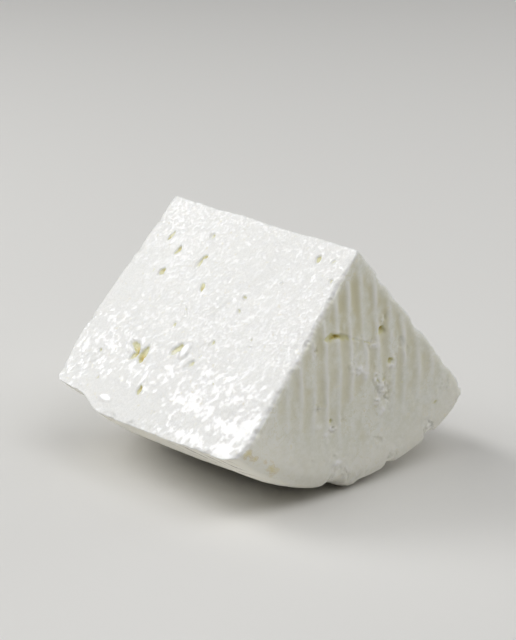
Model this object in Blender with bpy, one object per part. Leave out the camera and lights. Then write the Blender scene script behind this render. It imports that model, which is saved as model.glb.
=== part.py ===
"""A wedge cut from a small wheel of fresh white goat cheese, lying on its rim with the cut ridge up.

The wheel's axis runs along Y. Its lower face, at -Y, carries the ribs of the draining mat, and its
upper face, at +Y, is plain with a sloping shoulder. Two knife cuts meet at the ridge, on the axis.
The origin is at the bottom centre of the wedge's box, on the spot that it rests on.
"""

import math
import random

import bmesh
import bpy
from mathutils import Matrix, Vector, noise

MM = 0.001

# The wheel, in millimetres. Distances along the axis start at the ribbed face.
WHEEL_HEIGHT = 70.0
BELLY_RADIUS = 60.9
BELLY_AT = 46.0
FOOT_DRAW = 1.6
FOOT_FILLET = 2.8
FOOT_FILLET_DROP = 1.4
SHOULDER_AT = 48.0
SHOULDER_LENGTH = 12.5
SHOULDER_DROP = 3.0
TOP_DRAW = 0.6
TOP_FILLET = 2.4
TOP_FILLET_DROP = 1.4

# How far each knife cut leans from the upright plane through the ridge, in degrees.
LEFT_CUT = 43.6
RIGHT_CUT = 39.4

# The ribbed face sinks in the middle, as a drained curd does, and rolls over at its edge.
FOOT_DISH = 3.0
FOOT_DISH_RADIUS = 38.0
FOOT_MIDDLE = 0.8
FOOT_ROLL_AT = 54.0
FOOT_ROLL = 1.5
TOP_CROWN = 1.4
TOP_CROWN_RADIUS = 42.0

# Ribs that the draining mat left on the face. They fade towards the rim.
RIB_PITCH = 4.4
RIB_RELIEF = 0.42
RIB_OFFSET = 0.65
RIB_COLUMNS = 4
RIB_FADE_FROM = 34.0
RIB_FADE_TO = 52.0

# The edge between the large cut and the ribbed face is worn soft, but not near the ridge.
SOFT_EDGE = 0.4
SOFT_EDGE_FROM = 3.0
SOFT_EDGE_GROWS = 5.0
SOFT_EDGE_REACH = 2.2

# The soft curd settles on a flat spot, and handling leaves every surface a little wavy.
SETTLED = 0.7
WAVE_HEIGHT = 0.45
WAVE_LENGTH = 15.0
WAVE_SEED = 3

# Chips in the edge between the ribbed face and the rim: degrees from the lowest line of the
# rim, half-width in degrees, and depth. A negative depth is a curl of curd that stands out.
CHIPS = ((-9.0, 3.4, 2.7), (-2.2, 1.6, -1.3), (10.0, 2.1, 2.0), (24.3, 2.1, 2.8), (38.0, 3.0, 0.9))
CHIP_REACH = 9.0

# Where the lattice of the block has its lines: stations along the axis, and layers as a share
# of the height between the rim and the cut.
STATIONS = (0, 1.2, 3, 7, 14, 22, 31, 40, 48, 51.5, 54.5, 57.5, 60.5, 67, 69, 70)
LAYERS = (0, 0.035, 0.09, 0.19, 0.34, 0.5, 0.66, 0.82, 1)

# Eyes on the left cut: along the axis, down from the ridge, length, width, and how far the length
# turns from straight down the cut towards the plain face, in degrees.
LEFT_EYES = (
    (62.2, 10.9, 3.3, 1.3, 11), (57.0, 14.0, 3.1, 1.8, 12), (57.9, 20.8, 3.2, 1.9, 21),
    (48.5, 7.8, 2.4, 2.2, 19), (46.7, 13.7, 2.5, 1.4, 53), (47.3, 15.5, 3.6, 2.1, 2),
    (41.1, 21.4, 3.4, 1.5, -31), (42.8, 33.0, 2.3, 1.3, 19), (50.3, 41.6, 5.7, 2.1, -61),
    (46.4, 43.0, 5.8, 2.3, 0), (36.8, 38.7, 5.3, 2.5, 25), (27.2, 34.2, 2.6, 1.4, 17),
    (29.7, 41.3, 3.9, 2.2, 28), (40.5, 51.7, 3.3, 1.5, -15), (56.7, 52.9, 1.8, 1.3, -9),
    (19.1, 43.6, 1.4, 1.1, -19), (10.8, 5.1, 2.5, 1.9, 7), (3.2, 9.6, 1.6, 1.5, -33),
    (17.3, 14.0, 1.5, 1.3, 5),
)
# Eyes and cracks on the ribbed face: across from the ridge, down from it, length, width, and how
# far the length turns from straight down towards the right.
FOOT_EYES = (
    (-9.8, 19.1, 5.8, 1.9, -91), (-6.6, 19.8, 5.4, 1.8, 66), (6.9, 20.9, 2.9, 2.6, -27),
    (9.1, 29.1, 2.1, 2.1, -22), (-11.0, 39.5, 1.4, 1.5, 1), (-15.9, 34.5, 1.2, 1.4, 1),
    (24.6, 43.5, 2.5, 1.2, -70), (4.7, 33.6, 3.4, 1.1, 46), (5.0, 40.5, 4.6, 1.0, 52),
)
RIGHT_EYE_COUNT = 14
TOP_EYE_COUNT = 4
EYE_DEPTH = 0.75
EYE_SINK = 0.1
EYE_SEED = 7
EYE_SPACING = 6.0


def smooth_step(value):
    """0 below 0, 1 above 1, and a smooth rise between."""
    share = min(1.0, max(0.0, value))
    return share * share * (3.0 - 2.0 * share)


def rim_radius(along):
    """Radius of the wheel's bulging side, at a distance from the ribbed face."""
    radius = BELLY_RADIUS
    radius -= FOOT_DRAW * max(0.0, 1.0 - along / BELLY_AT) ** 2
    radius -= FOOT_FILLET_DROP * max(0.0, 1.0 - along / FOOT_FILLET) ** 2
    radius -= SHOULDER_DROP * smooth_step((along - SHOULDER_AT) / SHOULDER_LENGTH)
    above_shoulder = max(0.0, along - SHOULDER_AT - SHOULDER_LENGTH)
    radius -= TOP_DRAW * above_shoulder / (WHEEL_HEIGHT - SHOULDER_AT - SHOULDER_LENGTH)
    radius -= TOP_FILLET_DROP * max(0.0, 1.0 - (WHEEL_HEIGHT - along) / TOP_FILLET) ** 2
    return radius


def chip_depth(angle, along):
    """How much the chips take from the radius, at an angle in degrees from the rim's lowest line."""
    reach = max(0.0, 1.0 - along / CHIP_REACH) ** 1.5
    return reach * sum(depth * math.exp(-(((angle - at) / wide) ** 6)) for at, wide, depth in CHIPS)


def rib_height(across, down):
    """Height of the mat's ribs on the ribbed face: rounded ridges between wider grooves."""
    wave = 0.5 + 0.5 * math.cos(2.0 * math.pi * (across - RIB_OFFSET) / RIB_PITCH)
    radius = math.hypot(across, down)
    fade = 1.0 - smooth_step((radius - RIB_FADE_FROM) / (RIB_FADE_TO - RIB_FADE_FROM))
    return RIB_RELIEF * fade * (wave**1.4 - 0.4)


def foot_face(across, down):
    """Place of the ribbed face along the axis."""
    radius = math.hypot(across, down)
    place = FOOT_MIDDLE - FOOT_DISH * smooth_step(radius / FOOT_DISH_RADIUS)
    roll = max(0.0, radius - FOOT_ROLL_AT) / (rim_radius(0.0) - FOOT_ROLL_AT)
    return place + FOOT_ROLL * roll**2 - rib_height(across, down)


def top_face(across, down):
    """Place of the plain face along the axis."""
    radius = math.hypot(across, down)
    crown = TOP_CROWN * smooth_step(radius / TOP_CROWN_RADIUS)
    roll = smooth_step((radius - TOP_CROWN_RADIUS) / (rim_radius(WHEEL_HEIGHT) - TOP_CROWN_RADIUS))
    return WHEEL_HEIGHT + crown * (1.0 - roll)


def column_places():
    """Columns across the wedge, as a share of the rim's radius: several to each rib, and one on the ridge."""
    radius = rim_radius(0.0)
    left = -radius * math.sin(math.radians(LEFT_CUT))
    right = radius * math.sin(math.radians(RIGHT_CUT))
    step = RIB_PITCH / RIB_COLUMNS
    first = math.ceil((left - RIB_OFFSET) / step + 0.5)
    last = math.floor((right - RIB_OFFSET) / step - 0.5)
    places = [RIB_OFFSET + step * index for index in range(first, last + 1)]
    nearest = min(range(len(places)), key=lambda index: abs(places[index]))
    places[nearest] = 0.0
    return [place / radius for place in [left, *places, right]]


def waved(point):
    """The point moved by the gentle waves that a knife and handling leave, in millimetres."""
    return point + noise.noise_vector(point / WAVE_LENGTH) * WAVE_HEIGHT


def soft_edge(down_cut, inwards):
    """How far the worn edge sinks, at a place down the large cut and at a distance from the edge."""
    wear = smooth_step((down_cut - SOFT_EDGE_FROM) / SOFT_EDGE_GROWS)
    return SOFT_EDGE * wear * max(0.0, 1.0 - inwards / SOFT_EDGE_REACH) ** 2


def block_point(column, station, layer):
    """Where a lattice point of the block lies on the wedge, with the ridge on the Y axis and +Z up."""
    radius = rim_radius(station)
    angle = math.asin(max(-1.0, min(1.0, column)))
    radius -= chip_depth(math.degrees(angle), station)
    across = radius * math.sin(angle)
    lean = LEFT_CUT if across < 0.0 else RIGHT_CUT
    to_cut = abs(across) / math.tan(math.radians(lean))
    to_rim = radius * math.cos(angle)
    down = to_rim + (to_cut - to_rim) * layer
    near = foot_face(across, down)
    far = top_face(across, down)
    along = near + (far - near) * station / WHEEL_HEIGHT
    left_lean = math.radians(LEFT_CUT)
    down_cut = down * math.cos(left_lean) - across * math.sin(left_lean)
    to_cut_face = across * math.cos(left_lean) + down * math.sin(left_lean)
    along += soft_edge(down_cut, to_cut_face) * max(0.0, 1.0 - station / STATIONS[2])
    sunk = soft_edge(down_cut, station) * max(0.0, 1.0 - to_cut_face / SOFT_EDGE_REACH)
    across += sunk * math.cos(left_lean)
    down += sunk * math.sin(left_lean)
    return waved(Vector((across, along - WHEEL_HEIGHT / 2, -down)))


def along_axis(edge, axis):
    run = edge.verts[1].co - edge.verts[0].co
    return abs(run[axis]) > 0.5 * run.length


def curd_block():
    """A cube cut into a lattice, with each lattice point moved to its place on the wedge."""
    lines = (column_places(), STATIONS, LAYERS)
    block = bmesh.new()
    bmesh.ops.create_cube(block, size=2.0)
    for axis, places in enumerate(lines):
        edges = [edge for edge in block.edges if along_axis(edge, axis)]
        bmesh.ops.subdivide_edges(block, edges=edges, cuts=len(places) - 2, use_grid_fill=True)
    for vertex in block.verts:
        steps = [round((vertex.co[axis] + 1.0) / 2.0 * (len(lines[axis]) - 1)) for axis in range(3)]
        vertex.co = block_point(*(lines[axis][steps[axis]] for axis in range(3)))
    bmesh.ops.remove_doubles(block, verts=block.verts, dist=0.02)
    floor = min(vertex.co.z for vertex in block.verts) + SETTLED
    for vertex in block.verts:
        vertex.co.z = max(vertex.co.z, floor)
    bmesh.ops.triangulate(block, faces=block.faces)
    return block


def eye_frame(centre, outward, down, turn=0.0):
    """A frame for an eye: X runs along the eye, turned from straight down, and Z points out of the face."""
    side = outward.cross(down)
    upright = Matrix((down, side, outward)).transposed().to_4x4()
    return Matrix.Translation(waved(centre)) @ upright @ Matrix.Rotation(math.radians(turn), 4, "Z")


def left_eye_frames():
    lean = math.radians(LEFT_CUT)
    down = Vector((-math.sin(lean), 0.0, -math.cos(lean)))
    outward = Vector((-math.cos(lean), 0.0, math.sin(lean)))
    for along, depth, length, width, turn in LEFT_EYES:
        centre = down * depth + Vector((0.0, along - WHEEL_HEIGHT / 2, 0.0))
        yield eye_frame(centre, outward, down, -turn), length, width


def foot_eye_frames():
    down = Vector((0.0, 0.0, -1.0))
    outward = Vector((0.0, -1.0, 0.0))
    for across, depth, length, width, turn in FOOT_EYES:
        centre = Vector((across, foot_face(across, depth) - WHEEL_HEIGHT / 2, -depth))
        yield eye_frame(centre, outward, down, turn), length, width


def scattered(draw, count, low, high):
    """Places on a face, as pairs between the low and high corners, kept apart."""
    places = []
    while len(places) < count:
        place = Vector((draw.uniform(low[0], high[0]), draw.uniform(low[1], high[1])))
        if all((place - other).length > EYE_SPACING for other in places):
            places.append(place)
    return places


def right_eye_frames(draw):
    lean = math.radians(RIGHT_CUT)
    down = Vector((math.sin(lean), 0.0, -math.cos(lean)))
    outward = Vector((math.cos(lean), 0.0, math.sin(lean)))
    for place in scattered(draw, RIGHT_EYE_COUNT, (6.0, 6.0), (62.0, 51.0)):
        centre = down * place.y + Vector((0.0, place.x - WHEEL_HEIGHT / 2, 0.0))
        width = draw.uniform(1.1, 1.9)
        yield eye_frame(centre, outward, down), width * draw.uniform(1.2, 2.3), width


def top_eye_frames(draw):
    down = Vector((0.0, 0.0, -1.0))
    outward = Vector((0.0, 1.0, 0.0))
    for place in scattered(draw, TOP_EYE_COUNT, (-16.0, 24.0), (16.0, 48.0)):
        centre = Vector((place.x, top_face(place.x, place.y) - WHEEL_HEIGHT / 2, -place.y))
        width = draw.uniform(1.2, 1.9)
        yield eye_frame(centre, outward, down), width * draw.uniform(1.0, 1.6), width


def eye_cutter():
    """Every eye as a small lumpy ball, stretched down its face and sunk into it."""
    draw = random.Random(EYE_SEED)
    frames = [*left_eye_frames(), *foot_eye_frames(), *right_eye_frames(draw), *top_eye_frames(draw)]
    balls = bmesh.new()
    for frame, length, width in frames:
        depth = EYE_DEPTH * min(length, width)
        size = Matrix.Diagonal((length / 2, width / 2, depth, 1.0))
        sink = Matrix.Translation((0.0, 0.0, -EYE_SINK * depth))
        turn = Matrix.Rotation(draw.uniform(0.0, math.tau), 4, "Z")
        made = bmesh.ops.create_icosphere(balls, subdivisions=2, radius=1.0, matrix=turn)
        for vertex in made["verts"]:
            vertex.co *= draw.uniform(0.88, 1.12)
            vertex.co = frame @ sink @ size @ vertex.co
    return balls


def cheese_material():
    """Fresh curd: nearly white with a trace of yellow-green, moist and faintly glossy."""
    material = bpy.data.materials.new("fresh_curd")
    material.use_nodes = True
    shader = material.node_tree.nodes["Principled BSDF"]
    shader.inputs["Base Color"].default_value = (0.86, 0.86, 0.80, 1.0)
    shader.inputs["Roughness"].default_value = 0.35
    shader.inputs["Metallic"].default_value = 0.0
    return material


def add_object(name, shape):
    mesh = bpy.data.meshes.new(name)
    shape.to_mesh(mesh)
    shape.free()
    made = bpy.data.objects.new(name, mesh)
    bpy.context.scene.collection.objects.link(made)
    return made


def stand_on_origin(objects, leader):
    """Moves the meshes together, so that the leader's box has its bottom centre at the origin, in metres."""
    corners = [Vector(corner) for corner in leader.bound_box]
    low = Vector(min(corner[axis] for corner in corners) for axis in range(3))
    high = Vector(max(corner[axis] for corner in corners) for axis in range(3))
    foot = Vector(((low.x + high.x) / 2, (low.y + high.y) / 2, low.z))
    for made in objects:
        made.data.transform(Matrix.Scale(MM, 4) @ Matrix.Translation(-foot))


def cheese_wedge():
    wedge = add_object("cheese_wedge", curd_block())
    eyes = add_object("eye_cutter", eye_cutter())
    stand_on_origin((wedge, eyes), wedge)
    eyes.hide_render = True
    eyes.display_type = "WIRE"
    carve = wedge.modifiers.new("eyes", "BOOLEAN")
    carve.operation = "DIFFERENCE"
    carve.solver = "EXACT"
    carve.use_self = True
    carve.object = eyes
    wedge.data.materials.append(cheese_material())
    wedge.data.shade_smooth()
    wedge.data.set_sharp_from_angle(angle=math.radians(35.0))


for old in list(bpy.data.objects):
    bpy.data.objects.remove(old)
noise.seed_set(WAVE_SEED)
cheese_wedge()
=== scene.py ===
import math
import random

import bmesh
import bpy
import numpy as np
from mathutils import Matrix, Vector, noise


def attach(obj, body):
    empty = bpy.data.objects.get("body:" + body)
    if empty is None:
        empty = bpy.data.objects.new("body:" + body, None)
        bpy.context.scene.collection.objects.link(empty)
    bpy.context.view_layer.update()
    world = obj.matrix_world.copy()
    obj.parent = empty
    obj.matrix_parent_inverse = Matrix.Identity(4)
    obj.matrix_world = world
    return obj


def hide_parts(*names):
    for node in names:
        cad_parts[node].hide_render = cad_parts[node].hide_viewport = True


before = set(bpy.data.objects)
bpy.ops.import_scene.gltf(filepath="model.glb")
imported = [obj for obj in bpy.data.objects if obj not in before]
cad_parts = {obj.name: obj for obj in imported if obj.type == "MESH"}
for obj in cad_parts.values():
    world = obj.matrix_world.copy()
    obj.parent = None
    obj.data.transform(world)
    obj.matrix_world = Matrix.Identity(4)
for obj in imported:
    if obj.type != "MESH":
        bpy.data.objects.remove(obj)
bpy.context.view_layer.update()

# The wheel. Fresh goat's curd is ladled into a round mould and drains under its own weight. It is
# a plain drum here, with its axis along Y and its lower face at -Y, and it gets its bulge once the
# wedge is cut. All sizes are in millimetres.
MM = 0.001
WHEEL_HEIGHT = 70.0
WHEEL_RADIUS = 60.0
WHEEL_SIDES = 360


def deselect_all():
    bpy.ops.object.select_all(action="DESELECT")


def make_active(thing):
    deselect_all()
    thing.select_set(True)
    bpy.context.view_layer.objects.active = thing


deselect_all()
bpy.ops.mesh.primitive_cylinder_add(
    vertices=WHEEL_SIDES,
    radius=WHEEL_RADIUS * MM,
    depth=WHEEL_HEIGHT * MM,
    rotation=(math.radians(90.0), 0.0, 0.0),
)
cheese = bpy.context.object
cheese.name = "goat_cheese"
cheese.data.name = "goat_cheese"
bpy.ops.object.transform_apply(location=True, rotation=True, scale=True)

# The wedge. Two strokes of a knife from the rim to the axis free it. The first stroke is upright
# here and the second is SECTOR from it. Then the wedge is laid down on its rim.
LEFT_CUT = math.radians(43.6)
RIGHT_CUT = math.radians(39.4)
SECTOR = LEFT_CUT + RIGHT_CUT


def knife_cut(thing, normal):
    """Cuts away what lies on the side of the wheel's axis that the normal points to."""
    make_active(thing)
    bpy.ops.object.mode_set(mode="EDIT")
    bpy.ops.mesh.select_all(action="SELECT")
    bpy.ops.mesh.bisect(plane_co=(0.0, 0.0, 0.0), plane_no=normal, use_fill=True, clear_outer=True)
    bpy.ops.object.mode_set(mode="OBJECT")


knife_cut(cheese, (-1.0, 0.0, 0.0))
knife_cut(cheese, (math.cos(SECTOR), 0.0, math.sin(SECTOR)))

# The skin of the curd. No face of it is smooth, so the wedge becomes a close mesh, and a closer one on
# both cuts, on the ribbed face and on the rim beside that face and the large cut.
SKIN_DEPTH = 7
SKIN_SCALE = 0.48
ON_FACE = 0.05
CLOSE_TO_CUT = 6.0
CLOSE_TO_FOOT = 8.0

skin = cheese.modifiers.new("curd_skin", "REMESH")
skin.mode = "SHARP"
skin.octree_depth = SKIN_DEPTH
skin.scale = SKIN_SCALE
skin.use_remove_disconnected = False
make_active(cheese)
bpy.ops.object.modifier_apply(modifier="curd_skin")
cheese.rotation_euler = (0.0, LEFT_CUT, 0.0)
bpy.ops.object.transform_apply(location=True, rotation=True, scale=True)

left_normal = np.array([-math.cos(LEFT_CUT), 0.0, math.sin(LEFT_CUT)])
right_normal = np.array([math.cos(RIGHT_CUT), 0.0, math.sin(RIGHT_CUT)])
left_down = np.array([-math.sin(LEFT_CUT), 0.0, -math.cos(LEFT_CUT)])
right_down = np.array([math.sin(RIGHT_CUT), 0.0, -math.cos(RIGHT_CUT)])


def points_of(thing):
    """The piece's vertices in millimetres, as rows of X, Y and Z."""
    flat = np.empty(len(thing.data.vertices) * 3)
    thing.data.vertices.foreach_get("co", flat)
    return flat.reshape(-1, 3) / MM


def subdivide_where(thing, chosen):
    """Cuts each face whose corners are all chosen into four."""
    make_active(thing)
    bpy.ops.object.mode_set(mode="EDIT")
    bpy.ops.mesh.select_mode(type="FACE")
    bpy.ops.mesh.select_all(action="DESELECT")
    mesh = bmesh.from_edit_mesh(thing.data)
    for face in mesh.faces:
        face.select = all(chosen[vertex.index] for vertex in face.verts)
    bmesh.update_edit_mesh(thing.data)
    bpy.ops.mesh.subdivide(number_cuts=1, smoothness=0.0)
    bpy.ops.object.mode_set(mode="OBJECT")


plain = points_of(cheese)
on_left = plain @ left_normal > -ON_FACE
on_right = plain @ right_normal > -ON_FACE
on_foot = plain[:, 1] < -WHEEL_HEIGHT / 2 + ON_FACE
on_rim = np.hypot(plain[:, 0], plain[:, 2]) > WHEEL_RADIUS - ON_FACE
near_cut = plain @ left_normal > -CLOSE_TO_CUT
near_foot = plain[:, 1] < -WHEEL_HEIGHT / 2 + CLOSE_TO_FOOT
subdivide_where(cheese, on_left | on_right | on_foot | (on_rim & (near_cut | near_foot)))

# The eyes are holes that gas and trapped whey left in the curd, opened and drawn long by the knife.
# On the large cut each has its place along the axis and down from the ridge, its length, its width,
# its turn in degrees and how deep it goes. On the ribbed face it has its place across and down.
LEFT_EYES = (
    (62.2, 10.9, 3.3, 1.3, -169, 0.8), (57.0, 14.0, 3.1, 1.8, 12, 0.9), (57.9, 20.8, 3.2, 1.9, 21, 0.9),
    (61.0, 21.5, 2.8, 0.7, -6, 0.4), (48.5, 7.8, 2.4, 2.4, 19, 0.38), (50.2, 2.8, 2.0, 0.7, 22, 0.3),
    (46.7, 13.7, 2.5, 1.4, 53, 0.85), (47.3, 15.5, 3.6, 2.1, 2, 0.6), (44.2, 15.7, 0.6, 1.0, 2, 0.5),
    (41.1, 21.4, 3.4, 1.5, 149, 0.9), (42.8, 33.0, 2.3, 1.3, 19, 0.5), (50.3, 41.6, 6.6, 3.0, 119, 0.9),
    (49.2, 44.1, 3.8, 2.3, 28, 0.85), (46.4, 43.0, 6.0, 2.8, 179, 1.0), (36.8, 38.7, 5.3, 2.7, 25, 0.62),
    (27.2, 34.2, 2.6, 1.4, 17, 0.4), (29.7, 41.3, 3.9, 2.4, 28, 0.35), (25.9, 20.4, 1.6, 1.6, -11, 0.4),
    (25.2, 24.1, 3.1, 0.9, -57, 0.35), (41.7, 28.7, 4.1, 1.1, -57, 0.25),
    (15.5, 31.8, 0.9, 1.3, -8, 0.25), (40.5, 51.7, 3.6, 1.8, -15, 1.0), (61.4, 46.0, 1.4, 1.2, -8, 0.5),
    (56.7, 52.9, 1.8, 1.3, -9, 0.4), (19.1, 43.6, 0.7, 0.8, -19, 0.5), (28.2, 38.4, 3.0, 0.5, 23, 0.4),
    (31.7, 55.6, 0.9, 0.8, -8, 0.35), (10.8, 5.1, 2.5, 1.9, 7, 0.7), (3.2, 9.6, 1.6, 1.5, -33, 0.4),
    (6.1, 4.7, 2.4, 1.1, 36, 0.35), (17.3, 14.0, 1.5, 1.3, 5, 0.3), (26.4, 20.3, 1.6, 1.6, -8, 0.35),
    (25.3, 24.1, 1.4, 1.1, -12, 0.35), (16.2, 30.0, 1.3, 1.1, -12, 0.35),
)
FOOT_EYES = (
    (-10.3, 19.1, 6.4, 2.1, -90, 0.95), (-7.1, 19.8, 5.6, 1.9, 68, 0.9), (6.9, 20.9, 3.2, 2.7, -27, 0.95),
    (9.1, 29.1, 2.2, 2.2, -22, 0.8), (12.8, 35.5, 0.9, 1.0, 2, 0.5), (24.6, 43.5, 2.5, 1.1, -70, 0.5),
    (-11.0, 39.5, 1.4, 1.5, 1, 1.0), (-3.3, 26.2, 1.3, 1.5, 20, 0.25), (4.7, 33.6, 3.4, 0.9, 46, 0.4),
    (6.4, 33.8, 2.9, 0.9, -54, 0.4), (5.0, 40.5, 5.0, 0.8, 52, 0.45), (-15.9, 34.5, 1.0, 1.2, 1, 0.35),
    (-2.8, 46.8, 2.1, 0.8, 57, 0.3), (12.3, 24.7, 3.6, 1.9, -5, 0.2), (14.3, 27.3, 4.0, 1.3, -1, 0.2),
    (-16.0, 21.4, 1.5, 1.1, 1, 0.3), (3.0, 22.9, 1.0, 1.4, 59, 0.2), (-2.3, 21.5, 6.4, 0.8, 66, 0.3),
    (2.2, 23.2, 6.0, 0.8, 72, 0.35), (-10.7, 49.5, 3.2, 1.5, 68, 0.2), (-6.6, 49.8, 2.9, 0.9, 88, 0.2),
    (5.0, 48.9, 5.5, 1.5, 54, 0.15), (-13.3, 45.6, 1.9, 1.1, 63, 0.15), (-18.0, 48.7, 2.8, 1.3, 88, 0.15),
    (-7.5, 40.3, 1.4, 1.3, 38, 0.2),
)
EYE_SURROUND = 0.7


def eye_reach(down, across, row):
    """How far points lie from an eye's middle, as a share of its half-length and half-width."""
    across_at, down_at, length, width, turn = row[:5]
    lean = math.radians(turn)
    run = ((down - down_at) * math.cos(lean) + (across - across_at) * math.sin(lean)) / (length / 2)
    side = ((across - across_at) * math.cos(lean) - (down - down_at) * math.sin(lean)) / (width / 2)
    return run, side


EYE_SEED = 7
EYE_SPACING = 6.0
RIGHT_EYE_COUNT = 14
TOP_EYE_COUNT = 4


def scattered(draw, count, low, high):
    """Places on a face, as pairs between the low and high corners, kept apart."""
    places = []
    while len(places) < count:
        place = Vector((draw.uniform(low[0], high[0]), draw.uniform(low[1], high[1])))
        if all((place - other).length > EYE_SPACING for other in places):
            places.append(place)
    return places


draw = random.Random(EYE_SEED)
right_eyes = []
for place in scattered(draw, RIGHT_EYE_COUNT, (6.0, 6.0), (62.0, 51.0)):
    width = draw.uniform(1.1, 1.9)
    right_eyes.append((place.x, place.y, width * draw.uniform(1.2, 2.3), width, 0, 0.7))
top_eyes = []
for place in scattered(draw, TOP_EYE_COUNT, (-16.0, 24.0), (16.0, 48.0)):
    width = draw.uniform(1.2, 1.9)
    top_eyes.append((place.x, place.y, width * draw.uniform(1.0, 1.6), width, 0, 0.6))

# The curd tore in a few spots of the ribbed face as the mat came off: across, down, half-width and
# half-height.
TORN = (
    (-3.5, 26.9, 1.8, 3.0), (4.7, 34.3, 2.0, 4.2), (-15.3, 35.5, 1.8, 1.6), (-10.7, 41.7, 1.8, 1.6),
    (7.5, 37.5, 2.4, 2.6), (3.0, 23.5, 1.8, 1.2), (-10.7, 50.1, 2.0, 1.4), (28.1, 40.1, 2.0, 1.6),
    (-16.0, 21.7, 1.2, 1.6), (7.5, 18.6, 1.6, 1.2), (10.3, 29.6, 1.6, 1.4),
)

# The mesh is closest where the marks are finest: on the large cut and along its edges, on the edge of
# the ribbed face, round the eyes and where the curd tore.
CREASES_REACH = 20.0
FOOT_EDGE = 2.5
CUT_EDGE = 2.7
RIM_EDGE = 3.0
TORN_SURROUND = 1.6

plain = points_of(cheese)
along_left = plain[:, 1] + WHEEL_HEIGHT / 2
from_axis = np.hypot(plain[:, 0], plain[:, 2])
on_rim = from_axis > WHEEL_RADIUS - ON_FACE
on_foot = plain[:, 1] < -WHEEL_HEIGHT / 2 + ON_FACE
near_cut = plain @ left_normal > -CLOSE_TO_CUT
fine = plain @ left_normal > -ON_FACE
fine |= on_rim & near_cut & (along_left < CREASES_REACH)
fine |= on_rim & (along_left < FOOT_EDGE)
fine |= on_foot & (plain @ left_normal > -CUT_EDGE)
fine |= on_foot & (from_axis > WHEEL_RADIUS - RIM_EDGE)
on_right = plain @ right_normal > -ON_FACE
on_top = plain[:, 1] > WHEEL_HEIGHT / 2 - ON_FACE
for faces, down, across, rows in (
    (on_foot, -plain[:, 2], plain[:, 0], FOOT_EYES),
    (on_right, plain @ right_down, along_left, right_eyes),
    (on_top, -plain[:, 2], plain[:, 0], top_eyes),
):
    for row in rows:
        run, side = eye_reach(down, across, row)
        wide = 1.0 + EYE_SURROUND / (min(row[2], row[3]) / 2)
        fine |= faces & (np.hypot(run, side) < wide)
for across_at, down_at, wide, tall in TORN:
    reach = np.hypot((plain[:, 0] - across_at) / wide, (-plain[:, 2] - down_at) / tall)
    fine |= on_foot & (reach < TORN_SURROUND)
subdivide_where(cheese, fine)

# The drained shape of the rim. It bulges below a sloping shoulder, and is rounded where it meets the
# two faces of the wheel. A mark of one face fades out within a blend of its edge.
BELLY_RADIUS = 60.9
BELLY_AT = 46.0
FOOT_DRAW = 1.6
FOOT_FILLET = 2.8
FOOT_FILLET_DROP = 1.4
SHOULDER_AT = 48.0
SHOULDER_LENGTH = 12.5
SHOULDER_DROP = 3.0
TOP_DRAW = 0.6
TOP_FILLET = 2.4
TOP_FILLET_DROP = 1.4
CUT_BLEND = 0.5
FACE_BLEND = 0.6


def smooth_step(value):
    share = np.clip(value, 0.0, 1.0)
    return share * share * (3.0 - 2.0 * share)


def rim_radius(along):
    """Radius of the wheel's bulging side, at distances from the lower face."""
    radius = BELLY_RADIUS - FOOT_DRAW * np.maximum(0.0, 1.0 - along / BELLY_AT) ** 2
    radius = radius - FOOT_FILLET_DROP * np.maximum(0.0, 1.0 - along / FOOT_FILLET) ** 2
    radius = radius - SHOULDER_DROP * smooth_step((along - SHOULDER_AT) / SHOULDER_LENGTH)
    above_shoulder = np.maximum(0.0, along - SHOULDER_AT - SHOULDER_LENGTH)
    radius = radius - TOP_DRAW * above_shoulder / (WHEEL_HEIGHT - SHOULDER_AT - SHOULDER_LENGTH)
    return radius - TOP_FILLET_DROP * np.maximum(0.0, 1.0 - (WHEEL_HEIGHT - along) / TOP_FILLET) ** 2


plain = points_of(cheese)
straight_along = plain[:, 1] + WHEEL_HEIGHT / 2
straight_radius = np.hypot(plain[:, 0], plain[:, 2])
angle = np.degrees(np.arctan2(plain[:, 0], -plain[:, 2]))
left_share = 1.0 - smooth_step((plain @ -left_normal) / CUT_BLEND)
right_share = 1.0 - smooth_step((plain @ -right_normal) / CUT_BLEND)
foot_share = 1.0 - smooth_step(straight_along / FACE_BLEND)
top_share = 1.0 - smooth_step((WHEEL_HEIGHT - straight_along) / FACE_BLEND)
rim_share = smooth_step((straight_radius - (WHEEL_RADIUS - FACE_BLEND)) / CUT_BLEND)

# Chips and a curl of curd along the edge between the lower face and the rim: degrees from the
# lowest line of the rim, half-width in degrees, and depth.
CHIPS = ((-9.0, 3.4, 2.7), (-2.2, 1.6, -1.3), (10.0, 2.1, 2.0), (24.3, 2.1, 2.8), (38.0, 3.0, 0.9))
CHIP_REACH = 9.0
CHIP_FROM = 0.8
CHIP_FADE = 0.2

chip = sum(depth * np.exp(-(((angle - at) / wide) ** 6)) for at, wide, depth in CHIPS)
chip = chip * np.maximum(0.0, 1.0 - straight_along / CHIP_REACH) ** 1.5
radius = straight_radius * rim_radius(straight_along) / WHEEL_RADIUS
radius = radius - chip * smooth_step((straight_radius / WHEEL_RADIUS - CHIP_FROM) / CHIP_FADE)
across = radius * np.sin(np.radians(angle))
down = radius * np.cos(np.radians(angle))

# The draining mat's ribs, pressed into the lower face. They fade towards the rim, and the
# grooves between them are wider than the ridges, whose places across are given.
RIDGES = (
    -29.4, -25.1, -20.9, -16.65, -12.53, -8.36, -4.14, 0.6, 5.1, 9.8, 13.5, 18.1, 22.6, 26.9, 31.2, 35.5,
)
RIDGE_SWAY = 0.09
RIDGE_SHARPNESS = 2.2
RIB_RELIEF = 0.42
RIB_MIDDLE = 0.35
RIB_FADE_FROM = 34.0
RIB_FADE_TO = 52.0
RIB_MARGIN = 4.0


def noise_at(rows, octaves=1):
    """Layered noise of about -1 to 1 at each row of coordinates."""
    return np.array([noise.fractal(row, 0.9, 2.1, octaves) for row in rows.tolist()])


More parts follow.
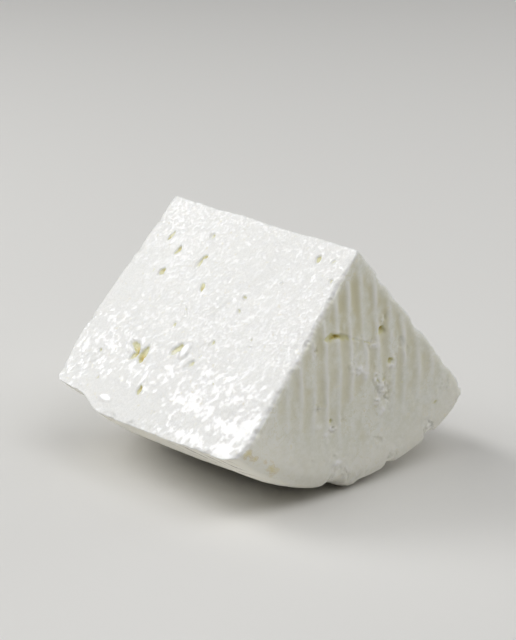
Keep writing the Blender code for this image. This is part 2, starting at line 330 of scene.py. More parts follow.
def layered(x, y, x_size, y_size, seed, octaves):
    """Noise on a face, with the sizes of its grains in millimetres."""
    return noise_at(np.column_stack((x / x_size, y / y_size, x * 0.0 + seed)), octaves)


def spot(x, y, x_at, y_at, x_wide, y_wide):
    """A soft round spot on a face, 1 in its middle."""
    return np.exp(-(((x - x_at) / x_wide) ** 2) - ((y - y_at) / y_wide) ** 2)


ridge_number = np.interp(across, RIDGES, np.arange(len(RIDGES)))
sway = RIDGE_SWAY * layered(across, down, 7.0, 10.0, 4.0, 3)
rib_wave = 0.5 + 0.5 * np.cos(2.0 * math.pi * (ridge_number + sway))
rib_ridge = rib_wave**RIDGE_SHARPNESS
off_left = smooth_step((plain @ -left_normal) / RIB_MARGIN)
off_right = smooth_step((plain @ -right_normal) / RIB_MARGIN)
rib_fade = 1.0 - smooth_step((radius - RIB_FADE_FROM) / (RIB_FADE_TO - RIB_FADE_FROM))
rib_fade = rib_fade * smooth_step((down - 1.0) / 8.0) * (0.3 + 0.7 * off_left)
rib_fade = rib_fade * off_right
rib_fade = rib_fade * (1.0 - 0.6 * smooth_step((down - 34.0) / 9.0) * smooth_step((across - 2.0) / 6.0))
pressed = 0.7 + 1.4 * layered(across, down, 4.0, 7.0, 8.0, 3)
pressed += 0.35 * layered(across, down, 2.5, 3.0, 18.0, 2)
pressed -= 0.9 * spot(across, down, -1.0, 39.0, 5.5, 9.0)
pressed = np.clip(pressed, 0.0, 1.5)
ribs = RIB_RELIEF * rib_fade * pressed * (rib_ridge - RIB_MIDDLE)

# The two faces of the wheel. The lower one sinks in its middle and rolls over at its edges, the upper
# one has a soft crown, and knife and hand leave everything a little wavy.
FOOT_DISH = 3.0
FOOT_DISH_RADIUS = 38.0
FOOT_MIDDLE = 0.8
FOOT_ROLL_AT = 54.0
FOOT_ROLL = 1.5
RIGHT_ROLL = 0.45
RIGHT_ROLL_WIDTH = 1.4
LEFT_ROLL = 0.1
LEFT_ROLL_WIDTH = 0.9
TOP_CROWN = 1.4
TOP_CROWN_RADIUS = 42.0
WAVE_HEIGHT = 0.45
WAVE_LENGTH = 15.0
WAVE_SEED = 3

near = FOOT_MIDDLE - FOOT_DISH * smooth_step(radius / FOOT_DISH_RADIUS) - ribs
near = near + FOOT_ROLL * (np.maximum(0.0, radius - FOOT_ROLL_AT) / (rim_radius(0.0) - FOOT_ROLL_AT)) ** 2
near = near + RIGHT_ROLL * np.maximum(0.0, 1.0 - (plain @ -right_normal) / RIGHT_ROLL_WIDTH) ** 2
near = near + LEFT_ROLL * np.maximum(0.0, 1.0 - (plain @ -left_normal) / LEFT_ROLL_WIDTH) ** 2
crown = TOP_CROWN * smooth_step(radius / TOP_CROWN_RADIUS)
crown_roll = smooth_step((radius - TOP_CROWN_RADIUS) / (rim_radius(WHEEL_HEIGHT) - TOP_CROWN_RADIUS))
far = WHEEL_HEIGHT + crown * (1.0 - crown_roll)
along = near + (far - near) * straight_along / WHEEL_HEIGHT
places = np.column_stack((across, along - WHEEL_HEIGHT / 2, -down))
noise.seed_set(WAVE_SEED)
places += WAVE_HEIGHT * np.array([noise.noise_vector(row) for row in (places / WAVE_LENGTH).tolist()])

# Relief of the cuts. The knife drags curd and whey down the slope, which leaves grains, streaks and
# a wet film. The film is thickest low on the face, where it fills the grain and shines. The heights
# are those of the grain, of the streaks, of the knife's strokes and of the slow swell under them.
DRAG = math.radians(30.0)
FILM_AT = 0.45
GRAIN = 0.055
STREAK = 0.07
STROKE = 0.06
SWELL = 0.26

# Where a cut is wetter, or drier: along the axis, down, half-length, half-height and by how much.
WET_SPOTS = (
    (4.6, 52.3, 6.0, 3.0, 0.50), (-0.4, 50.0, 3.5, 3.0, 0.30), (14.3, 50.9, 3.8, 2.4, 0.34),
    (23.8, 50.6, 4.6, 2.2, 0.36), (15.4, 57.4, 6.0, 1.2, 0.45), (3.3, 57.8, 5.5, 1.5, 0.50),
    (10.4, 56.2, 3.0, 1.6, -0.45), (9.7, 49.4, 3.4, 1.5, -0.35), (20.0, 54.4, 5.0, 1.5, -0.30),
    (12.0, 43.5, 9.0, 4.0, 0.14), (24.0, 44.0, 7.0, 4.0, 0.10), (63.0, 46.0, 7.0, 12.0, 0.16),
    (58.0, 9.0, 14.0, 8.0, 0.10), (30.0, 10.0, 20.0, 9.0, -0.16), (68.0, 26.0, 6.0, 11.0, -0.26),
    (30.0, 58.5, 34.0, 1.0, 0.20), (45.0, 55.5, 15.0, 2.5, -0.25),
)


def cut_relief(span, fall, seed):
    """A cut's relief in millimetres, how wet, gritty and coarse it is, and its places along the drag."""
    with_drag = span * math.sin(DRAG) + fall * math.cos(DRAG)
    over_drag = span * math.cos(DRAG) - fall * math.sin(DRAG)
    thick = 0.33 + sum(amount * spot(span, fall, *where) for *where, amount in WET_SPOTS)
    low = smooth_step((fall - 38.0) / 10.0) * (1.0 - 0.6 * smooth_step((span - 32.0) / 10.0))
    ragged = layered(over_drag, with_drag, 2.2, 5.0, seed, 3)
    ragged += 0.9 * layered(span, fall, 1.3, 1.5, seed + 3.0, 3)
    wetness = thick + (0.20 + 0.22 * low) * ragged
    lip = smooth_step((span - 28.0) / 6.0) * (1.0 - smooth_step((span - 58.0) / 6.0))
    lip = lip * smooth_step((fall - 50.0) / 4.0)
    wetness = np.clip(wetness * (1.0 - 0.6 * lip), 0.0, 1.0)
    film = smooth_step((wetness - FILM_AT) / 0.2)
    grit = 0.35 + 0.8 * layered(span, fall, 13.0, 9.0, seed + 19.0, 2)
    grit += 0.25 * smooth_step((fall - 20.0) / 14.0)
    grit += 0.5 * spot(span, fall, 60.0, 9.0, 11.0, 8.0) + 0.5 * spot(span, fall, 62.0, 46.0, 9.0, 10.0)
    grit -= 0.4 * spot(span, fall, 26.0, 9.0, 20.0, 9.0) + 0.5 * spot(span, fall, 67.0, 26.0, 5.0, 9.0)
    grit = np.clip(grit, 0.0, 1.0)
    calm = 1.0 - 0.85 * lip
    relief = (0.010 + GRAIN * grit) * (1.0 - 0.7 * film) * layered(span, fall, 1.0, 1.15, seed + 9.0, 2)
    relief += STREAK * grit * (1.0 - 0.7 * film) * layered(over_drag, with_drag, 1.2, 4.5, seed + 5.0, 2)
    relief += STROKE * calm * (1.0 - 0.6 * film) * layered(over_drag, with_drag, 2.4, 4.6, seed + 15.0, 2)
    relief += SWELL * calm * layered(span, fall, 8.0, 14.0, seed + 13.0, 2)
    relief += 0.05 * low * film + 0.05 * lip * np.sin(np.clip((fall - 52.0) / 8.0, 0.0, 1.0) * math.pi)
    far_end = smooth_step((span - 52.0) / 8.0) * smooth_step((fall - 24.0) / 8.0)
    coarse = np.maximum(smooth_step((fall - 30.0) / 14.0), far_end)
    return relief, wetness, grit, coarse, np.column_stack((over_drag, with_drag, fall * 0.0 + seed))


# The span is along the axis from the ribbed face, and the fall is down the large cut from the ridge.
span = places[:, 1] + WHEEL_HEIGHT / 2
fall = places @ left_down
left_relief, left_film, left_grit, left_coarse, left_drag = cut_relief(span, fall, 2.0)
right_relief, right_film, right_grit, right_coarse, right_drag = cut_relief(span, places @ right_down, 31.0)

# Blisters: smooth drops of curd on the large cut, as along, down, half-width, half-height and height.
BLISTERS = (
    (49.8, 56.9, 2.6, 1.1, 0.22), (33.9, 38.2, 1.4, 2.7, 0.42), (41.4, 48.2, 1.0, 2.6, 0.16),
    (36.2, 44.0, 1.3, 0.9, 0.14),
)

for span_at, fall_at, wide, tall, high in BLISTERS:
    reach = np.hypot((span - span_at) / wide, (fall - fall_at) / tall)
    drop = 1.0 - smooth_step((reach - 0.55) / 0.7)
    left_relief = left_relief * (1.0 - 0.7 * drop) + high * drop
    left_film = left_film * (1.0 - drop) + 0.9 * drop

# Relief of the drained faces: faint lines of the mat and of the mould, small pocks, and crumbs and
# cracks where the curd tore.
CHIP_TORN_FROM = 54.0

nowhere = np.zeros(len(places))
torn = nowhere + sum(spot(across, down, *where) for where in TORN)
torn += 0.8 * smooth_step((np.abs(chip) - 0.25) / 0.8) * smooth_step((straight_radius - CHIP_TORN_FROM) / 5.0)
torn = np.minimum(1.0, torn)
foot_relief = 0.02 * layered(across, down, 0.8, 8.0, 41.0, 2)
foot_relief += 0.06 * layered(across, down, 3.0, 3.0, 47.0, 3)
foot_relief -= 0.4 * np.maximum(0.0, layered(across, down, 2.2, 1.7, 49.0, 2) - 0.42)
cracks = np.abs(layered(across, down, 2.6, 3.0, 51.0, 2))
foot_relief += torn * 0.42 * layered(across, down, 1.5, 1.8, 57.0, 2)
foot_relief -= torn * 0.5 * np.maximum(0.0, 0.1 - cracks) / 0.1

# Crumbs on the ribbed face where it tore: across, down, half-width and half-height.
CRUMBS = (
    (-1.5, 29.1, 1.7, 1.2), (5.8, 41.1, 1.5, 1.2), (-14.9, 40.0, 1.1, 0.8), (-10.9, 41.5, 1.5, 0.8),
    (6.5, 35.3, 1.1, 1.6), (3.8, 24.2, 1.6, 0.7), (-9.5, 50.9, 1.5, 0.9), (0.3, 30.6, 0.9, 1.4),
    (8.9, 30.5, 1.1, 0.8), (3.6, 32.2, 0.8, 1.3), (4.0, 38.4, 0.9, 0.9), (-12.7, 42.6, 0.9, 0.7),
)
CRUMB_HEIGHT = 0.42

crumb = nowhere.copy()
for across_at, down_at, wide, tall in CRUMBS:
    reach = ((across - across_at) / wide) ** 2 + ((down - down_at) / tall) ** 2
    crumb += np.exp(-(reach**2))
crumb = np.clip(crumb * (0.8 + 1.2 * layered(across, down, 0.9, 0.9, 59.0, 2)), 0.0, 1.0)
foot_relief += CRUMB_HEIGHT * crumb
fleck = smooth_step((layered(across, down, 1.1, 1.3, 63.0, 2) - 0.12) / 0.15)
crumb = np.maximum(crumb, 0.6 * torn * fleck)
around = np.radians(angle) * WHEEL_RADIUS
mould_pocks = noise_at(places / 3.0, 3)
rim_relief = 0.06 * layered(around, span, 0.9, 24.0, 53.0, 2) + 0.08 * mould_pocks
rim_relief += 0.25 * torn * noise_at(places / 1.4, 3)

# Creases that the mould left under the large cut. They run slantwise over the rim to the ribbed face,
# FOLD_PITCH apart round the rim, and swing round with its edge close to it.
FOLD_PITCH = 4.6
FOLD_SLOPE = 0.7
FOLD_DEPTH = 0.16

fold = np.radians(angle) * WHEEL_RADIUS + FOLD_SLOPE * span - 4.0 * np.exp(-np.maximum(span, 0.0) / 2.0)
fold = fold + 0.6 * layered(span, angle, 12.0, 9.0, 107.0, 1)
creased = smooth_step((span - 0.3) / 1.6) * (1.0 - smooth_step((span - 15.0) / 12.0))
creased = creased * (1.0 - smooth_step((angle + 39.0) / 9.0))
creased = creased * np.clip(0.8 + 0.9 * layered(span, fold, 12.0, 6.0, 109.0, 1), 0.0, 1.0)
creased = creased * smooth_step((plain @ -left_normal) / 1.5)
rim_relief -= FOLD_DEPTH * creased * (0.5 + 0.5 * np.cos(2.0 * math.pi * fold / FOLD_PITCH)) ** 3

foot_normal = np.array([0.0, -1.0, 0.0])
rim_normal = np.column_stack((np.sin(np.radians(angle)), nowhere, -np.cos(np.radians(angle))))
places += np.outer(left_relief * left_share, left_normal)
places += np.outer(right_relief * right_share, right_normal)
places += np.outer(foot_relief * foot_share, foot_normal)
places -= np.outer(0.09 * mould_pocks * top_share, foot_normal)
places += rim_normal * (rim_relief * rim_share)[:, None]

# The edge between the large cut and the ribbed face is worn round, more in some spots than in others,
# but it is sharp near the ridge. Each point slides along its own face and sinks onto an arc.
worn = 1.5 * smooth_step((fall - 2.0) / 6.0) * (0.9 + 0.6 * layered(fall, span, 1.7, 9.0, 103.0, 3))
worn = np.clip(worn, 0.1, 2.3)
from_cut = np.abs(plain @ left_normal)
on_cut = from_cut < straight_along
inset = np.where(on_cut, straight_along, from_cut)
bend = math.pi / 4.0 * np.clip(1.0 - inset / worn, 0.0, 1.0)
sunk = worn * (1.0 - np.cos(bend))
slid = np.maximum(0.0, worn * (1.0 - np.sin(bend)) - inset)
places -= np.outer(np.where(on_cut, sunk, slid), left_normal)
places -= np.outer(np.where(on_cut, slid, sunk), foot_normal)

# The edges are worn. They are nicked where curd broke away from the knife, and two corners are
# blunt: the far end of the ridge, and the one on the right of the ribbed face, which has a dent.
NICK_REACH = 1.8
NICK_SIZE = 4.0

to_left = plain @ -left_normal
to_right = plain @ -right_normal
to_rim = WHEEL_RADIUS - straight_radius
near_left = 1.0 - smooth_step(to_left / NICK_REACH)
near_right = 1.0 - smooth_step(to_right / NICK_REACH)
near_rim = 1.0 - smooth_step(to_rim / NICK_REACH)
near_foot = 1.0 - smooth_step(straight_along / NICK_REACH)
near_top = 1.0 - smooth_step((WHEEL_HEIGHT - straight_along) / NICK_REACH)
right_down_at = places @ right_down
for depth, first, second, inward, seed in (
    (0.6, near_left, near_top, foot_normal - left_normal, 61.0),
    (0.5, near_left, near_rim, -left_normal - left_down, 67.0),
    (0.25, near_left, near_right, -left_normal - right_normal, 71.0),
    (0.9, near_right, near_foot, -foot_normal - right_normal, 73.0),
    (0.45, near_left, near_foot, -foot_normal - left_normal, 79.0),
    (0.9, near_right, near_rim, -right_normal - right_down, 83.0),
    (0.7, near_rim, near_top, foot_normal, 89.0),
    (0.7, near_right, near_top, foot_normal - right_normal, 97.0),
):
    nick = np.maximum(0.0, noise_at(places / NICK_SIZE + seed, 3) - 0.06)
    places += np.outer(depth * nick * first * second, inward)
deep_right = 1.0 - smooth_step(to_right / 4.0)
dent = spot(right_down_at, span, 53.5, 0.0, 2.0, 5.0)
dent -= 0.5 * spot(right_down_at, span, 58.6, 0.0, 1.6, 4.0)
places -= np.outer(dent * deep_right, right_normal)
corner = spot(right_down_at, span, 58.2, -0.3, 2.2, 2.4) * deep_right
places -= np.outer(1.7 * corner, right_down) + np.outer(0.7 * corner, foot_normal)
blunt = spot(span, fall, 71.0, 0.0, 1.6, 1.8)
places += np.outer(0.15 * blunt, foot_normal) - np.outer(0.1 * blunt, (0.0, 0.0, 1.0))

# The eyes are pushed in. Each is deepest at its upper end, where the knife met it, and has a low
# lip and a shallow trail below it.
EYE_BEND = 0.45
EYE_LIP = 0.07

eye = nowhere.copy()


def open_eyes(places, eye, share, normal, down, across, rows, depth_share, trail):
    """Pushes each eye into its face, and marks it in the eye array."""
    bend = EYE_BEND * noise_at(places / 1.9 + 3.0, 2)
    swell = EYE_BEND * noise_at(places / 1.5 + 11.0, 2)
    for row in rows:
        run, side = eye_reach(down, across, row)
        close = (np.abs(run) < 3.5) & (np.abs(side) < 3.5) & (share > 0.3)
        run = run[close]
        side = side[close] + bend[close]
        shaped = np.hypot(run, side / np.maximum(0.35, 1.0 - 0.5 * run**2)) + 0.6 * swell[close]
        pit = 1.0 - smooth_step((shaped - 0.5) / (0.55 + 0.2 * np.tanh(run)))
        lip = np.exp(-(((shaped - 1.4) / 0.3) ** 2))
        core = np.exp(-(((run + 0.4) / 0.55) ** 2) - (side / 0.5) ** 2)
        depth = depth_share * min(row[2], row[3]) * (0.4 + 0.6 * row[5])
        tail = np.exp(-(side**2)) * smooth_step(run / 1.2) * (1.0 - smooth_step((run - 1.4) / 1.6))
        moved = EYE_LIP * lip * min(1.0, row[3]) - depth * pit * (0.8 - 0.35 * run) - trail * tail
        places[close] += np.outer(moved * share[close], normal)
        # The eye array holds the painted shade of each pit, strongest at its deep core.
        eye[close] = np.maximum(eye[close], pit * (0.42 + 0.58 * core) * row[5])


open_eyes(places, eye, left_share, left_normal, fall, span, LEFT_EYES, 0.28, 0.05)
open_eyes(places, eye, foot_share, foot_normal, down, across, FOOT_EYES, 0.34, 0.0)
open_eyes(places, eye, right_share, right_normal, places @ right_down, span, right_eyes, 0.4, 0.05)
open_eyes(places, eye, top_share, -foot_normal, down, across, top_eyes, 0.4, 0.0)

# The wedge rests on the flat spot where the soft curd settles, with that spot at the origin.
AXIS_AT = (1.8, 0.514, 60.347)

places += np.array(AXIS_AT)
places[:, 2] = np.maximum(places[:, 2], 0.0)
cheese.data.vertices.foreach_set("co", (places * MM).ravel())


# Marks for the material. How wet each place is and what lies there are stored with the vertices, and
# so is the place along the pull of the knife.
def keep_attribute(thing, name, values):
    """Stores one number per vertex, for the material to read."""
    made = thing.data.attributes.new(name, "FLOAT", "POINT")
    made.data.foreach_set("value", np.ascontiguousarray(values, np.float32))


def keep_vector(thing, name, rows):
    """Stores three numbers per vertex, as the coordinates of a pattern that follows the surface."""
    made = thing.data.attributes.new(name, "FLOAT_VECTOR", "POINT")
    made.data.foreach_set("vector", np.ascontiguousarray(rows, np.float32).ravel())


cut_share = np.maximum(left_share, right_share)
stain = 1.0 * spot(across, down, -37.5, 41.2, 1.2, 1.2) + 0.55 * spot(across, down, -35.2, 42.9, 1.5, 0.8)
stain += 0.3 * spot(across, down, -32.2, 44.6, 1.8, 0.8) + 0.5 * spot(across, down, -29.8, 47.2, 1.9, 2.0)
stain = stain * (1.0 - smooth_step((span - 4.0) / 6.0))
groove_shade_share = rib_fade * np.minimum(1.0, 0.3 + pressed) * (0.6 + 0.4 * smooth_step((26.0 - down) / 10.0))
# Painted light: the lower face is painted lighter near the rim, as the rim is, for the light bounced there.
painted_light_near_rim = 0.5 * foot_share * smooth_step((radius - 44.0) / 10.0)
surface = {
    "wet": cut_share,
    "film": np.maximum(left_film * left_share, right_film * right_share),
    "grit": np.maximum(left_grit * left_share, right_grit * right_share),
    "coarse": np.maximum(left_coarse * left_share, right_coarse * right_share),
    "eye": eye,
    "whey": stain * np.maximum(rim_share, foot_share),
    "fold": fold,
    # Painted light and shade of the ribs: their ridges are painted lighter and their grooves darker and
    # yellower.
    "groove_painted_shade": (1.0 - rib_ridge) * groove_shade_share * foot_share,
    "rim": np.maximum(rim_share, painted_light_near_rim),
    "ridge": rib_ridge * rib_fade * np.minimum(1.0, pressed) * foot_share,
    "crumb": crumb * np.maximum(foot_share, rim_share),
    "crease_painted_shade": creased * rim_share,
}
for name, values in surface.items():
    keep_attribute(cheese, name, values)
face_place = np.column_stack((across, down, nowhere))
cut_place = np.where((left_share > right_share)[:, None], left_drag, right_drag)
keep_vector(cheese, "drag", np.where((cut_share > 0.5)[:, None], cut_place, face_place))
make_active(cheese)
bpy.ops.object.shade_smooth()

# Fresh curd: moist, nearly white and slightly translucent, with yellow-green shade painted where it lies
# deep. The cuts are wet with fat and glisten, and the drained faces are dull.
def linear(code):
    """An sRGB hex colour as linear red, green, blue and alpha."""
    parts = [int(code[at : at + 2], 16) / 255.0 for at in (1, 3, 5)]
    return [part / 12.92 if part <= 0.04045 else ((part + 0.055) / 1.055) ** 2.4 for part in parts] + [1.0]


curd = bpy.data.materials.new("fresh_goat_curd")
curd.use_nodes = True
shader = curd.node_tree.nodes["Principled BSDF"]


def add_node(kind, inputs, settings=None, output=0):
    """Adds a node to the curd and gives one output. An input is a value, or an output to link."""
    node = curd.node_tree.nodes.new(kind)
    for name, value in (settings or {}).items():
        setattr(node, name, value)
    for name, value in inputs.items() if isinstance(inputs, dict) else enumerate(inputs):
        if isinstance(value, bpy.types.NodeSocket):
            curd.node_tree.links.new(value, node.inputs[name])
        else:
            node.inputs[name].default_value = value
    return node.outputs[output]


# The kinds of node that the curd has most of. A range takes a value, its lowest and its highest, and
# what they become.
MATHS = "ShaderNodeMath"
RANGE = "ShaderNodeMapRange"
MIX = "ShaderNodeMix"
ADD = {"operation": "ADD"}
SUBTRACT = {"operation": "SUBTRACT"}
MULTIPLY = {"operation": "MULTIPLY"}
MULTIPLY_ADD = {"operation": "MULTIPLY_ADD"}
COLOUR = {"data_type": "RGBA"}
NUMBER = {"data_type": "FLOAT"}

marks = {name: add_node("ShaderNodeAttribute", {}, {"attribute_name": name}, "Fac") for name in surface}

# Patterns of the curd: the size of their grains in millimetres, their detail and their roughness. The
# flecks of whey and fat are drawn out by the knife, fine near the ridge and coarse low on the cut, and
# lie on a drag that is already in millimetres.
FLECK_STRETCH = 0.55

place = add_node("ShaderNodeTexCoord", {}, None, "Object")
drag = add_node("ShaderNodeAttribute", {}, {"attribute_name": "drag"}, "Vector")
stretched = add_node("ShaderNodeMapping", {"Vector": drag, "Scale": (1.0, FLECK_STRETCH, 1.0)})
patterns = {}
for name, where, unit, size, detail, roughness in (
    ("mottle", place, MM, 11.111, 3.0, 0.5),
    ("yellowing", place, MM, 3.125, 3.0, 0.5),
    ("curdled", place, MM, 1.42857, 3.0, 0.5),
    ("grain", place, MM, 0.47619, 1.5, 0.6),
    ("flecks", stretched, 1.0, 0.90909, 3.0, 0.55),
    ("fine_flecks", stretched, 1.0, 0.52632, 2.0, 0.5),
):
    patterns[name] = add_node(
        "ShaderNodeTexNoise",
        {"Vector": where, "Scale": 1.0 / (size * unit), "Detail": detail, "Roughness": roughness},
    )
mottle = patterns["mottle"]
yellowing = patterns["yellowing"]
curdled = patterns["curdled"]
grain = patterns["grain"]
flecks = patterns["flecks"]

# The flecks shine: they are glossy, and a painted highlight makes them whiter too. They stand out most
# where the cut is gritty, and join up where it is wetter.
either = add_node(MIX, {0: marks["coarse"], 2: patterns["fine_flecks"], 3: flecks}, NUMBER)
by_grit = add_node(RANGE, (marks["grit"], 0.0, 1.0, 2.6, 3.9))
by_coarseness = add_node(RANGE, (marks["coarse"], 0.0, 1.0, 1.0, 0.75))
uneven = add_node(MATHS, (by_grit, by_coarseness), MULTIPLY)
off_middle = add_node(MATHS, (either, 0.5), SUBTRACT)
wetted = add_node(MATHS, (off_middle, uneven, marks["film"]), MULTIPLY_ADD)
shine_and_painted_glint = add_node(RANGE, (wetted, 0.48, 0.53, 0.0, 1.0))

# The drained faces are mottled, with yellower clouds and thin veins where whey seeped out, and painted
# light makes them whiter towards the rim, standing in for the light the table bounces onto it. The cuts
# are speckled by their grain, and painted highlights make them whitest where they shine.
speckle = add_node(MATHS, (mottle, 0.3), MULTIPLY)
speckle = add_node(MATHS, (curdled, 0.45, speckle), MULTIPLY_ADD)
speckle = add_node(MATHS, (grain, 0.25, speckle), MULTIPLY_ADD)
off_vein = add_node(MATHS, (yellowing, 0.5), SUBTRACT)
off_vein = add_node(MATHS, (off_vein,), {"operation": "ABSOLUTE"})
near_vein = add_node(RANGE, (off_vein, 0.0, 0.025, 1.0, 0.0))
in_patches = add_node(RANGE, (mottle, 0.48, 0.6, 0.0, 0.4))
drained = linear("#E8E8DC")
for code, share in (
    ("#F3F3EC", add_node(RANGE, (speckle, 0.42, 0.58, 0.0, 1.0))),
    ("#DFD8B4", add_node(RANGE, (yellowing, 0.54, 0.72, 0.0, 0.22))),
    ("#D6CFA6", add_node(MATHS, (near_vein, in_patches), MULTIPLY)),
    # Painted light: the rim is painted lighter, standing in for the bounced light that brightens it.
    ("#F8F5EA", marks["rim"]),
):
    drained = add_node(MIX, {0: share, 6: drained, 7: linear(code)}, COLOUR, 2)
cut_face = linear("#EBEBE8")
for code, share in (
    ("#F4F4F1", add_node(RANGE, (grain, 0.35, 0.65, 0.0, 1.0))),
    # Painted highlight: the shining flecks are painted near white.
    ("#F9F9F7", shine_and_painted_glint),
):
    cut_face = add_node(MIX, {0: share, 6: cut_face, 7: linear(code)}, COLOUR, 2)
colour = add_node(MIX, {0: marks["wet"], 6: drained, 7: cut_face}, COLOUR, 2)

# Whey dried on the drained faces, golden, with a darker line where its edge stood.
clotted = add_node(MATHS, (curdled, 0.5), SUBTRACT)
dried = add_node(MATHS, (clotted, 1.8, marks["whey"]), MULTIPLY_ADD)
edge_in = add_node(RANGE, (dried, 0.33, 0.42, 0.0, 1.0))
edge_out = add_node(RANGE, (dried, 0.42, 0.52, 1.0, 0.0))
tide = add_node(MATHS, (edge_in, edge_out), MULTIPLY)
tide_share = add_node(RANGE, (marks["whey"], 0.1, 0.4, 0.0, 0.35))

# Painted shade in the creases of the rim: brownish lines, about half a millimetre wide.
off_line = add_node(MATHS, (marks["fold"], FOLD_PITCH / 2.0), {"operation": "PINGPONG"})
painted_crease_shade = add_node(RANGE, (off_line, 0.12, 0.5, 1.0, 0.0))
painted_crease_shade = add_node(MATHS, (painted_crease_shade, marks["crease_painted_shade"]), MULTIPLY)

# The eyes get painted shade and bounced light: pale yellow at their lips and golden where they are
# deepest, with a ragged outline.
ragged_eye_shade = add_node(MATHS, (flecks, 0.5), SUBTRACT)
ragged_eye_shade = add_node(MATHS, (ragged_eye_shade, 0.5), MULTIPLY)
ragged_eye_shade = add_node(MATHS, (marks["eye"], ragged_eye_shade), ADD)

# Each colour lies over those before it, by its share: painted light on the ridges of the ribs and painted
# shade in their grooves, the crumbs, the dried whey and its edge, painted shade in the creases, and painted
# shade and bounced light in the eyes.
for code, share in (
    # Painted highlight on the ridges of the ribs, then painted shade in their grooves.
    ("#F1F0EA", marks["ridge"]),
    ("#D9D4B6", marks["groove_painted_shade"]),
    ("#FBFAF7", marks["crumb"]),
    ("#E4D79E", add_node(RANGE, (dried, 0.25, 1.0, 0.0, 0.85))),
    ("#C09A5C", add_node(MATHS, (tide, tide_share), MULTIPLY)),
    # Painted shade darkens the creases.
    ("#7A6E57", add_node(MATHS, (painted_crease_shade, 0.75), MULTIPLY)),
    # Painted shade and bounced light in the eyes, pale at their lips and golden at the deep core.
    ("#E0DDB2", add_node(RANGE, (ragged_eye_shade, 0.14, 0.38, 0.0, 1.0))),
    ("#C6B153", add_node(RANGE, (ragged_eye_shade, 0.5, 0.95, 0.0, 1.0))),
):
    colour = add_node(MIX, {0: share, 6: colour, 7: linear(code)}, COLOUR, 2)

# The fine grain of the curd stands out where the cut is gritty, and the film of whey fills it in.
GRAIN_HEIGHT = 0.03
DRIED_ROUGHNESS = 0.6
CUT_ROUGHNESS = 0.5
WET_ROUGHNESS = 0.06
CURD_IOR = 1.5
CURD_GLOW = 0.3
GLOW_COLOURS = (1.0, 0.95, 0.85)
GLOW_DEPTH = 1.5

by_grit = add_node(RANGE, (marks["grit"], 0.0, 1.0, 0.3, 1.0))
by_shine = add_node(RANGE, (shine_and_painted_glint, 0.0, 1.0, 1.0, 0.1))
height = add_node(MATHS, (grain, by_grit), MULTIPLY)
height = add_node(MATHS, (height, by_shine), MULTIPLY)
bump = add_node("ShaderNodeBump", {"Height": height, "Strength": 1.0, "Distance": GRAIN_HEIGHT * MM})
cut_roughness = add_node(RANGE, (shine_and_painted_glint, 0.0, 1.0, CUT_ROUGHNESS, WET_ROUGHNESS))
roughness = add_node(MIX, {0: marks["wet"], 2: DRIED_ROUGHNESS, 3: cut_roughness}, NUMBER)
curd.node_tree.links.new(colour, shader.inputs["Base Color"])
curd.node_tree.links.new(bump, shader.inputs["Normal"])
curd.node_tree.links.new(roughness, shader.inputs["Roughness"])
shader.inputs["IOR"].default_value = CURD_IOR
shader.inputs["Subsurface Weight"].default_value = CURD_GLOW
shader.inputs["Subsurface Radius"].default_value = GLOW_COLOURS
shader.inputs["Subsurface Scale"].default_value = GLOW_DEPTH * MM
cheese.data.materials.clear()
cheese.data.materials.append(curd)

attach(cheese, "root")
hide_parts("cheese_wedge")

# The studio: a pale matte table that runs out of sight, a large soft light behind and above, a window
# that the wet cut mirrors, soft lights overhead, low on the right and in front, and the camera at the
# left.
TABLE_SIZE = 6.0

bpy.ops.mesh.primitive_plane_add(size=TABLE_SIZE)
table = bpy.context.object
table.name = "table"
stone = bpy.data.materials.new("matte_table")
stone.use_nodes = True
table_shader = stone.node_tree.nodes["Principled BSDF"]
table_shader.inputs["Base Color"].default_value = linear("#E1E0DD")
table_shader.inputs["Roughness"].default_value = 0.8
table_shader.inputs["Specular IOR Level"].default_value = 0.1
table.data.materials.append(stone)

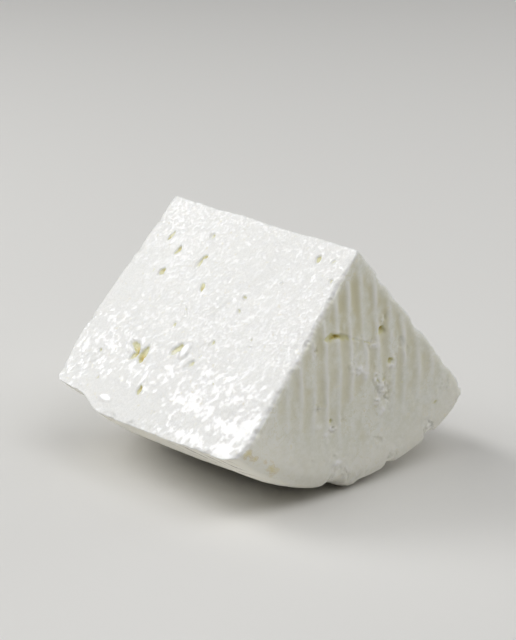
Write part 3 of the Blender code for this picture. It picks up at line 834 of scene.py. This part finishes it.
AIM = Vector((0.06, 0.54, 34.99)) * MM
CAMERA_AZIMUTH = math.radians(-41.22)
CAMERA_HEIGHT = math.radians(17.98)
CAMERA_DISTANCE = 535.1 * MM
FOCAL_LENGTH = 119.27
SENSOR_WIDTH = 36.0


def direction(azimuth, elevation):
    """The way from the object to a viewer or a light. Azimuth 0 is in front, at -Y."""
    level = math.cos(elevation)
    return Vector((math.sin(azimuth) * level, -math.cos(azimuth) * level, math.sin(elevation)))


# Where each light stands, as azimuth and elevation in degrees and distance in metres, then its width
# and depth in metres and its power in watts.
LIGHTS = (
    ("back_softbox", -115.0, 50.0, 1.3, 1.2, 1.0, 6.8),
    ("back_window", -153.0, 36.0, 1.2, 0.6, 0.6, 5.5),
    ("overhead_softbox", -60.0, 86.0, 1.3, 1.4, 1.4, 1.5),
    ("low_right_softbox", 80.0, 20.0, 1.3, 1.2, 0.5, 3.5),
    ("front_softbox", 35.0, 48.0, 1.5, 1.0, 1.0, 4.0),
    ("high_front_softbox", 0.0, 65.0, 1.5, 1.0, 1.0, 5.4),
)

for name, azimuth, elevation, distance, width, depth, power in LIGHTS:
    lamp = bpy.data.lights.new(name, "AREA")
    lamp.shape = "RECTANGLE"
    lamp.size = width
    lamp.size_y = depth
    lamp.energy = power
    holder = bpy.data.objects.new(name, lamp)
    bpy.context.scene.collection.objects.link(holder)
    way = direction(math.radians(azimuth), math.radians(elevation))
    holder.location = AIM + way * distance
    holder.rotation_euler = way.to_track_quat("Z", "Y").to_euler()

world = bpy.data.worlds.new("studio")
bpy.context.scene.world = world
world.use_nodes = True
world.node_tree.nodes["Background"].inputs["Color"].default_value = linear("#F2F4F6")
world.node_tree.nodes["Background"].inputs["Strength"].default_value = 0.005

lens = bpy.data.cameras.new("camera")
lens.lens = FOCAL_LENGTH
lens.sensor_width = SENSOR_WIDTH
camera = bpy.data.objects.new("camera", lens)
bpy.context.scene.collection.objects.link(camera)
back = direction(CAMERA_AZIMUTH, CAMERA_HEIGHT)
camera.location = AIM + back * CAMERA_DISTANCE
camera.rotation_euler = back.to_track_quat("Z", "Y").to_euler()
bpy.context.scene.camera = camera
bpy.context.scene.view_settings.view_transform = "Standard"
